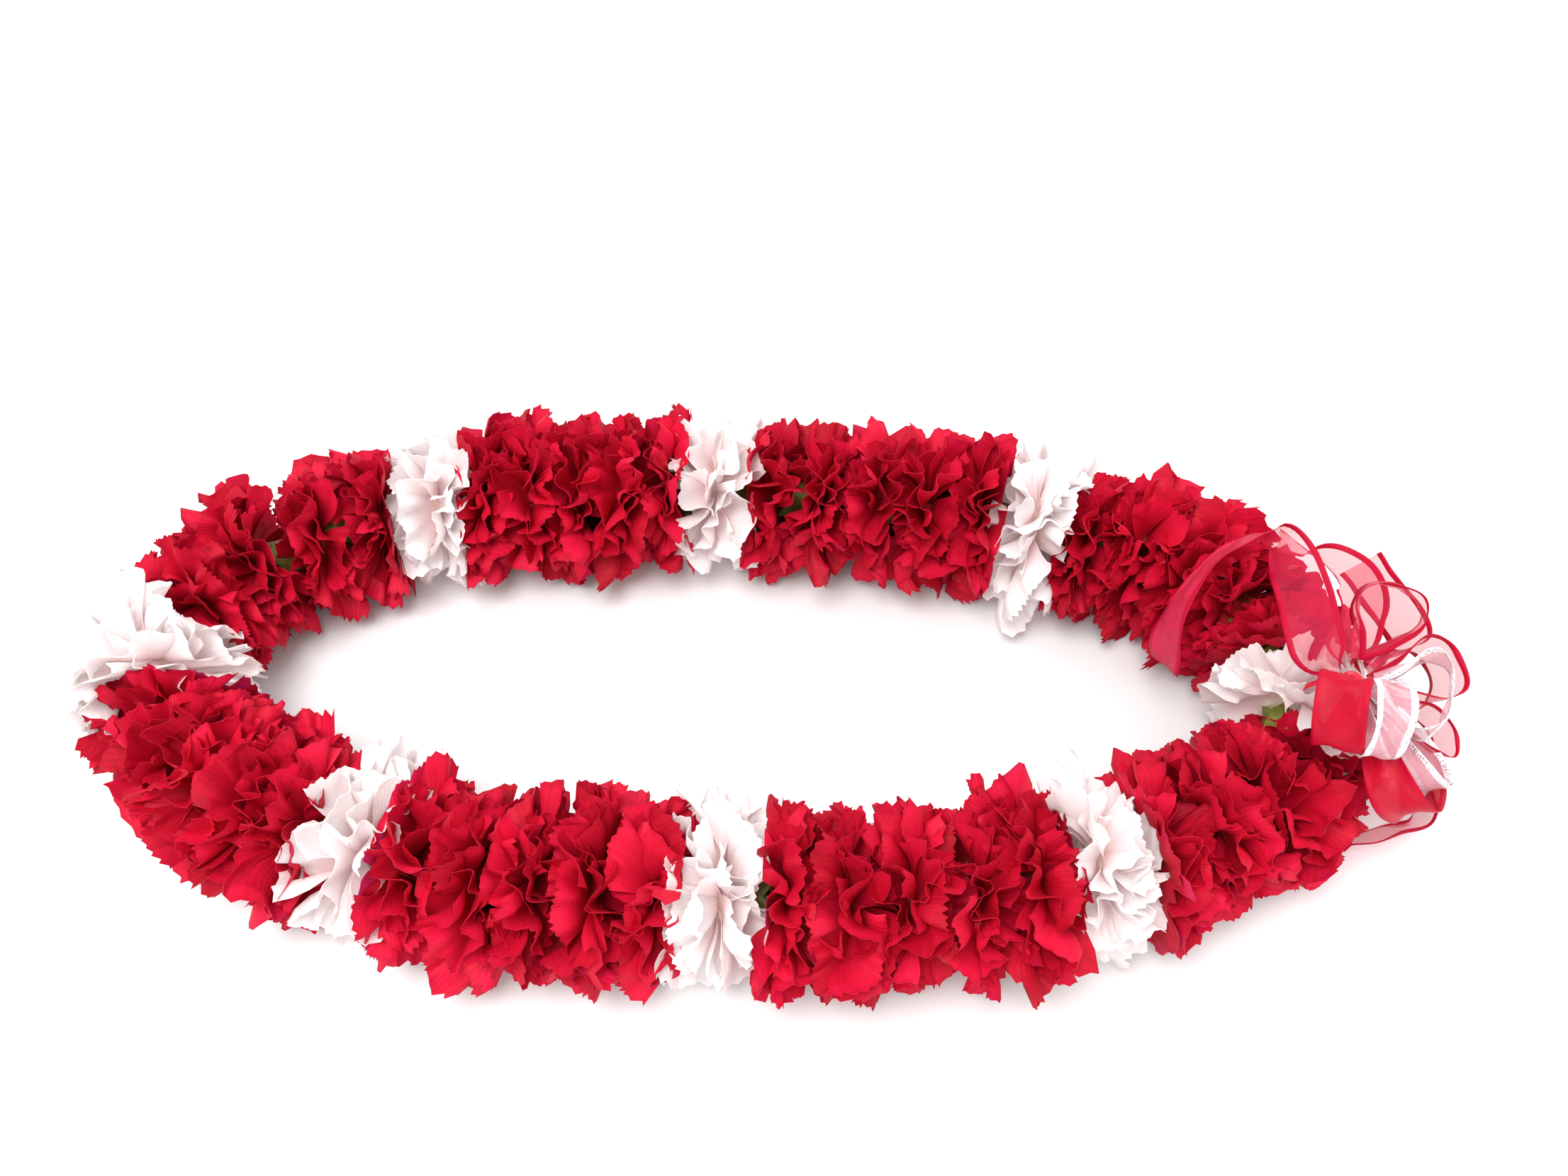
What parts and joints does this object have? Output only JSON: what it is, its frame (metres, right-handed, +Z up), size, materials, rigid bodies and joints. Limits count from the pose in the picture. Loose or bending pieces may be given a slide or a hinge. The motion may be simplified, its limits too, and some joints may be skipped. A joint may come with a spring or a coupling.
{
  "type": "fresh flower lei",
  "caption": "Oval lei of carnations in two colours, threaded on a string through their centres, with a bow of sheer ribbon loops and trailing tails tied on at one end.",
  "frame": {"origin": "On the table, under the middle of the object's box.", "axes": "+X along the lei's length towards the end with the bow, +Y towards the back side, +Z up."},
  "size_m": [0.5295, 0.2505, 0.1016],
  "materials": {
    "red_petals": "soft, matt to satin petals",
    "white_petals": "soft, matt petals",
    "calyx_green": "matt, waxy green",
    "string_cotton": "matt twisted cotton",
    "red_ribbon": "sheer, with satin edges",
    "white_ribbon": "sheer, with glittery edges"
  },
  "bodies": {
    "root": {"bow_tie": "red_ribbon", "lei_string": "string_cotton", "loop_back_red": "red_ribbon", "loop_front_red": "red_ribbon", "loop_front_white": "white_ribbon", "loop_low_red": "red_ribbon", "loop_low_white": "white_ribbon", "loop_right_red": "red_ribbon", "loop_right_white": "white_ribbon", "loop_small_red": "red_ribbon", "red_carnation_01": "red_petals", "red_carnation_02": "red_petals", "red_carnation_03": "red_petals", "red_carnation_04": "red_petals", "red_carnation_05": "red_petals", "red_carnation_06": "red_petals", "red_carnation_07": "red_petals", "red_carnation_08": "red_petals", "red_carnation_09": "red_petals", "red_carnation_10": "red_petals", "red_carnation_11": "red_petals", "red_carnation_12": "red_petals", "red_carnation_13": "red_petals", "red_carnation_14": "red_petals", "red_carnation_15": "red_petals", "red_carnation_16": "red_petals", "red_carnation_17": "red_petals", "red_carnation_18": "red_petals", "red_carnation_19": "red_petals", "red_carnation_20": "red_petals", "red_carnation_21": "red_petals", "red_carnation_22": "red_petals", "red_carnation_23": "red_petals", "red_carnation_24": "red_petals", "red_carnation_25": "red_petals", "red_carnation_26": "red_petals", "red_carnation_27": "red_petals", "red_carnation_28": "red_petals", "red_carnation_29": "red_petals", "red_carnation_30": "red_petals", "red_carnation_31": "red_petals", "red_carnation_32": "red_petals", "red_carnation_33": "red_petals", "red_carnation_34": "red_petals", "red_carnation_35": "red_petals", "red_carnation_36": "red_petals", "red_carnation_37": "red_petals", "red_carnation_38": "red_petals", "ribbon_arch": "red_ribbon", "ribbon_drape": "red_ribbon", "ribbon_tail_back": "red_ribbon", "ribbon_tail_front": "red_ribbon", "white_carnation_01": "white_petals", "white_carnation_02": "white_petals", "white_carnation_03": "white_petals", "white_carnation_04": "white_petals", "white_carnation_05": "white_petals", "white_carnation_06": "white_petals", "white_carnation_07": "white_petals", "white_carnation_08": "white_petals"}
  },
  "joints": []
}
